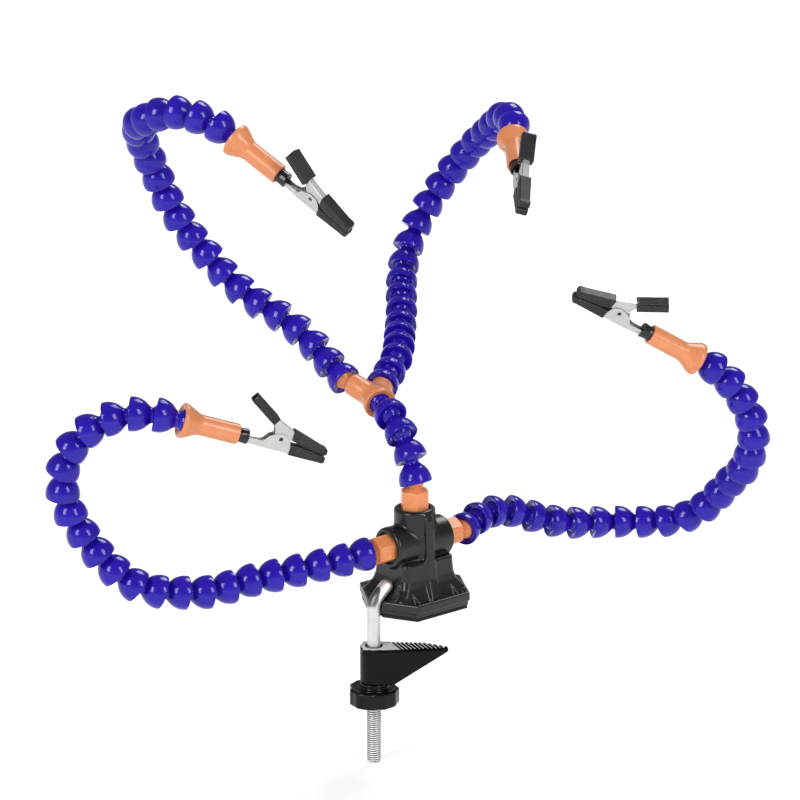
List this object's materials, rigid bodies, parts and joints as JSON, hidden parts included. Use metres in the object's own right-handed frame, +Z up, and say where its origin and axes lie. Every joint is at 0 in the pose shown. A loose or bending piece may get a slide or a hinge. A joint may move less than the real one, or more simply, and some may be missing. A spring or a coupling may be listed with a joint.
{
  "type": "helping hands clamp",
  "caption": "Bench third hand: clamp-on manifold base, bendable ball-and-socket hose arms and spring clips with sleeved jaws to hold small work while soldering.",
  "frame": {"origin": "centre of the underside of the base pad, where the base sits on the bench", "axes": "+Z up; X along the two side ports; -Y is the front; the clamp rod is at the -X corner of the flange"},
  "size_m": [0.3703, 0.2602, 0.3587],
  "materials": {
    "base_plastic": "satin moulded",
    "pad_rubber": "matte",
    "orange_acetal": "satin gloss moulded",
    "blue_hose": "glossy moulded",
    "rod_zinc": "bright zinc plated",
    "jaw_plastic": "glossy moulded",
    "knob_plastic": "satin gloss moulded",
    "nut_brass": "machined",
    "clip_nickel": "nickel plated sheet",
    "pin_steel": "riveted",
    "spring_wire": "oiled spring wire",
    "sleeve_vinyl": "ribbed vinyl"
  },
  "bodies": {
    "base": {"base_body": "base_plastic", "base_pad": "pad_rubber", "fitting_left": "orange_acetal", "fitting_right": "orange_acetal", "fitting_top": "orange_acetal"},
    "rod": {"clamp_rod": "rod_zinc"},
    "jaw": {"clamp_jaw": "jaw_plastic"},
    "knob": {"clamp_knob": "knob_plastic", "knob_nut": "nut_brass"},
    "stem_a": {"stem_links_a": "blue_hose"},
    "stem_b": {"stem_links_b": "blue_hose"},
    "y_piece": {"y_fitting": "orange_acetal"},
    "left_arm_a": {"left_links_a": "blue_hose"},
    "left_arm_b": {"left_links_b": "blue_hose"},
    "left_arm_c": {"left_links_c": "blue_hose"},
    "left_nozzle": {"left_nozzle": "orange_acetal"},
    "left_clip": {"left_fixed_jaw": "clip_nickel", "left_clip_pin": "pin_steel", "left_clip_spring": "spring_wire", "left_tail_sleeve": "sleeve_vinyl", "left_fixed_sleeve": "sleeve_vinyl"},
    "left_clip_jaw": {"left_moving_jaw": "clip_nickel", "left_moving_sleeve": "sleeve_vinyl", "left_handle_sleeve": "sleeve_vinyl"},
    "right_arm_a": {"right_links_a": "blue_hose"},
    "right_arm_b": {"right_links_b": "blue_hose"},
    "right_arm_c": {"right_links_c": "blue_hose"},
    "right_nozzle": {"right_nozzle": "orange_acetal"},
    "right_clip": {"right_fixed_jaw": "clip_nickel", "right_clip_pin": "pin_steel", "right_clip_spring": "spring_wire", "right_tail_sleeve": "sleeve_vinyl", "right_fixed_sleeve": "sleeve_vinyl"},
    "right_clip_jaw": {"right_moving_jaw": "clip_nickel", "right_moving_sleeve": "sleeve_vinyl", "right_handle_sleeve": "sleeve_vinyl"},
    "rear_left_arm_a": {"rear_left_links_a": "blue_hose"},
    "rear_left_arm_b": {"rear_left_links_b": "blue_hose"},
    "rear_left_arm_c": {"rear_left_links_c": "blue_hose"},
    "rear_left_nozzle": {"rear_left_nozzle": "orange_acetal"},
    "rear_left_clip": {"rear_left_fixed_jaw": "clip_nickel", "rear_left_clip_pin": "pin_steel", "rear_left_clip_spring": "spring_wire", "rear_left_tail_sleeve": "sleeve_vinyl", "rear_left_fixed_sleeve": "sleeve_vinyl"},
    "rear_left_clip_jaw": {"rear_left_moving_jaw": "clip_nickel", "rear_left_moving_sleeve": "sleeve_vinyl", "rear_left_handle_sleeve": "sleeve_vinyl"},
    "rear_right_arm_a": {"rear_right_links_a": "blue_hose"},
    "rear_right_arm_b": {"rear_right_links_b": "blue_hose"},
    "rear_right_arm_c": {"rear_right_links_c": "blue_hose"},
    "rear_right_nozzle": {"rear_right_nozzle": "orange_acetal"},
    "rear_right_clip": {"rear_right_fixed_jaw": "clip_nickel", "rear_right_clip_pin": "pin_steel", "rear_right_clip_spring": "spring_wire", "rear_right_tail_sleeve": "sleeve_vinyl", "rear_right_fixed_sleeve": "sleeve_vinyl"},
    "rear_right_clip_jaw": {"rear_right_moving_jaw": "clip_nickel", "rear_right_moving_sleeve": "sleeve_vinyl", "rear_right_handle_sleeve": "sleeve_vinyl"}
  },
  "joints": [
    {"name": "rod_swing", "type": "hinge", "parent": "base", "child": "rod", "pos_m": [-0.0305, -0.003, 0], "axis": [0, 0, 1], "range_deg": [-10, 10]},
    {"name": "jaw_slide", "type": "slide", "parent": "rod", "child": "jaw", "axis": [0, 0, 1], "range_m": [-0.026, 0.015]},
    {"name": "knob_spin", "type": "hinge", "parent": "jaw", "child": "knob", "pos_m": [-0.0305, -0.003, -0.045], "axis": [0, 0, 1], "range_deg": [-7480, 4310]},
    {"name": "stem_lean", "type": "hinge", "parent": "base", "child": "stem_a", "pos_m": [0, 0, 0.0719], "axis": [1, 0, 0], "range_deg": [-2, 26]},
    {"name": "stem_sway", "type": "hinge", "parent": "stem_a", "child": "stem_b", "pos_m": [-0.00044, 0.0121, 0.09451], "axis": [0.0011, 0.7929, -0.6094], "range_deg": [-17, 6]},
    {"name": "y_tilt", "type": "hinge", "parent": "stem_b", "child": "y_piece", "pos_m": [0.00309, 0.03504, 0.10545], "axis": [-0.9657, 0.113, 0.2337], "range_deg": [-20, 20]},
    {"name": "left_root_bend", "type": "hinge", "parent": "base", "child": "left_arm_a", "pos_m": [-0.0359, 0, 0.0357], "axis": [0, 0, 1], "range_deg": [-12, 26]},
    {"name": "left_mid_bend", "type": "hinge", "parent": "left_arm_a", "child": "left_arm_b", "pos_m": [-0.12366, 0.02216, 0.02864], "axis": [0.1989, 0.98, 0], "range_deg": [-26, 12]},
    {"name": "left_end_bend", "type": "hinge", "parent": "left_arm_b", "child": "left_arm_c", "pos_m": [-0.18611, 0.05123, 0.07826], "axis": [0.9111, 0.088, 0.4027], "range_deg": [-26, 10]},
    {"name": "left_nozzle_bend", "type": "hinge", "parent": "left_arm_c", "child": "left_nozzle", "pos_m": [-0.14444, 0.00485, 0.1299], "axis": [-0.6467, -0.7615, 0.0429], "range_deg": [-8, 19]},
    {"name": "left_clip_turn", "type": "hinge", "parent": "left_nozzle", "child": "left_clip", "pos_m": [-0.12087, -0.00588, 0.12127], "axis": [0.8635, -0.393, -0.3162], "range_deg": [-90, 90]},
    {"name": "left_clip_open", "type": "hinge", "parent": "left_clip", "child": "left_clip_jaw", "pos_m": [-0.10097, -0.01512, 0.11753], "axis": [-0.4275, -0.9029, -0.045], "range_deg": [0, 25], "stiffness_Nm_per_rad": 0.02, "springref_deg": -68.75, "deforming": ["left_clip_spring"]},
    {"name": "right_root_bend", "type": "hinge", "parent": "base", "child": "right_arm_a", "pos_m": [0.0359, 0, 0.0357], "axis": [0, 0, 1], "range_deg": [-26, 2]},
    {"name": "right_mid_bend", "type": "hinge", "parent": "right_arm_a", "child": "right_arm_b", "pos_m": [0.12115, -0.0132, 0.02376], "axis": [-0.3526, -0.9358, 0], "range_deg": [-21, 18]},
    {"name": "right_end_bend", "type": "hinge", "parent": "right_arm_b", "child": "right_arm_c", "pos_m": [0.16179, -0.0761, 0.05631], "axis": [0.0115, 0.7262, 0.6874], "range_deg": [-17, 24]},
    {"name": "right_nozzle_bend", "type": "hinge", "parent": "right_arm_c", "child": "right_nozzle", "pos_m": [0.11803, -0.08805, 0.13692], "axis": [0.5692, 0.7187, 0.3994], "range_deg": [-19, 22]},
    {"name": "right_clip_turn", "type": "hinge", "parent": "right_nozzle", "child": "right_clip", "pos_m": [0.09722, -0.07712, 0.1508], "axis": [-0.7623, 0.4003, 0.5086], "range_deg": [-90, 90]},
    {"name": "right_clip_open", "type": "hinge", "parent": "right_clip", "child": "right_clip_jaw", "pos_m": [0.08115, -0.07034, 0.16463], "axis": [0.6136, 0.697, 0.3711], "range_deg": [0, 25], "stiffness_Nm_per_rad": 0.02, "springref_deg": -68.75, "deforming": ["right_clip_spring"]},
    {"name": "rear_left_root_bend", "type": "hinge", "parent": "y_piece", "child": "rear_left_arm_a", "pos_m": [-0.0031, 0.05865, 0.11442], "axis": [0.0876, -0.3339, 0.9385], "range_deg": [-9, 26]},
    {"name": "rear_left_mid_bend", "type": "hinge", "parent": "rear_left_arm_a", "child": "rear_left_arm_b", "pos_m": [-0.0392, 0.13212, 0.1743], "axis": [0.7165, 0.6976, 0], "range_deg": [-23, 17]},
    {"name": "rear_left_end_bend", "type": "hinge", "parent": "rear_left_arm_b", "child": "rear_left_arm_c", "pos_m": [-0.08206, 0.1321, 0.24981], "axis": [0.4797, 0.4707, 0.7405], "range_deg": [-26, 3]},
    {"name": "rear_left_nozzle_bend", "type": "hinge", "parent": "rear_left_arm_c", "child": "rear_left_nozzle", "pos_m": [-0.07478, 0.05185, 0.25566], "axis": [-0.9137, -0.1609, -0.3732], "range_deg": [-19, 22]},
    {"name": "rear_left_clip_turn", "type": "hinge", "parent": "rear_left_nozzle", "child": "rear_left_clip", "pos_m": [-0.06495, 0.03087, 0.24122], "axis": [0.3601, -0.7687, -0.5286], "range_deg": [-90, 90]},
    {"name": "rear_left_clip_open", "type": "hinge", "parent": "rear_left_clip", "child": "rear_left_clip_jaw", "pos_m": [-0.05772, 0.01186, 0.23218], "axis": [-0.9108, -0.1671, -0.3775], "range_deg": [0, 25], "stiffness_Nm_per_rad": 0.02, "springref_deg": -68.75, "deforming": ["rear_left_clip_spring"]},
    {"name": "rear_right_root_bend", "type": "hinge", "parent": "y_piece", "child": "rear_right_arm_a", "pos_m": [0.02144, 0.05333, 0.10767], "axis": [-0.0606, -0.0604, 0.9963], "range_deg": [-6, 26]},
    {"name": "rear_right_mid_bend", "type": "hinge", "parent": "rear_right_arm_a", "child": "rear_right_arm_b", "pos_m": [0.08299, 0.11358, 0.13433], "axis": [0.776, -0.6307, 0], "range_deg": [-24, 18]},
    {"name": "rear_right_end_bend", "type": "hinge", "parent": "rear_right_arm_b", "child": "rear_right_arm_c", "pos_m": [0.13388, 0.11762, 0.20782], "axis": [-0.2126, 0.7181, 0.6627], "range_deg": [-10, 26]},
    {"name": "rear_right_nozzle_bend", "type": "hinge", "parent": "rear_right_arm_c", "child": "rear_right_nozzle", "pos_m": [0.10564, 0.0442, 0.23179], "axis": [-0.7952, 0.5418, 0.2721], "range_deg": [-26, 12]},
    {"name": "rear_right_clip_turn", "type": "hinge", "parent": "rear_right_nozzle", "child": "rear_right_clip", "pos_m": [0.08997, 0.02311, 0.2244], "axis": [-0.5742, -0.7726, -0.271], "range_deg": [-90, 90]},
    {"name": "rear_right_clip_open", "type": "hinge", "parent": "rear_right_clip", "child": "rear_right_clip_jaw", "pos_m": [0.07755, 0.00484, 0.22158], "axis": [-0.8163, 0.5145, 0.2625], "range_deg": [0, 25], "stiffness_Nm_per_rad": 0.02, "springref_deg": -68.75, "deforming": ["rear_right_clip_spring"]}
  ],
  "couplings": [
    {"joint": "jaw_slide", "follows": "knob_spin", "m_per_rad": 0.00019894}
  ]
}
